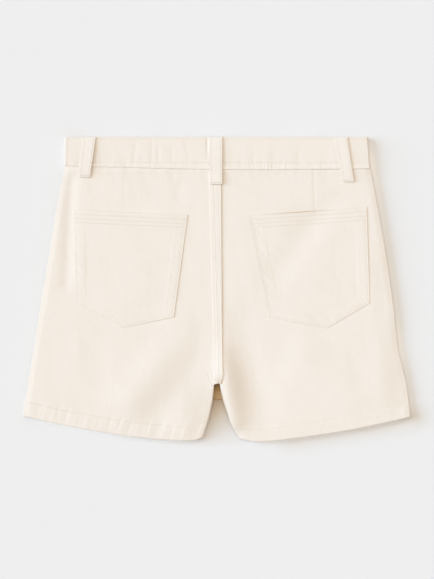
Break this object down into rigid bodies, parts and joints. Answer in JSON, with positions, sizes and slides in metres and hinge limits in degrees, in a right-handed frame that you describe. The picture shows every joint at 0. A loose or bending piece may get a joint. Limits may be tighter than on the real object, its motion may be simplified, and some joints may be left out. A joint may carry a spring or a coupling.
{
  "type": "skort",
  "caption": "Girl's skort in cream cotton twill laid flat, back up, with belt loops, patch pockets and a front skirt panel.",
  "frame": {"origin": "middle of the footprint, on the surface that the garment lies on", "axes": "+X across the body, towards the wearer's right side; +Y up the body, towards the waistband; +Z away from the surface, out of the garment's back"},
  "size_m": [0.3772, 0.2962, 0.0116],
  "materials": {
    "cream_twill": "matt undyed cotton twill with a fine diagonal rib",
    "cream_thread": "polyester-cotton topstitching thread, slightly lustrous",
    "horn_button": "polished horn-coloured resin"
  },
  "bodies": {
    "root": {"back_left": "cream_twill", "back_right": "cream_twill", "seat_fell": "cream_twill", "front_left": "cream_twill", "front_right": "cream_twill", "skirt_front": "cream_twill", "waistband": "cream_twill", "loop_back_left": "cream_twill", "loop_back_centre": "cream_twill", "loop_back_right": "cream_twill", "loop_front_left": "cream_twill", "loop_front_right": "cream_twill", "pocket_left": "cream_twill", "pocket_right": "cream_twill", "waist_button": "horn_button"}
  },
  "joints": []
}
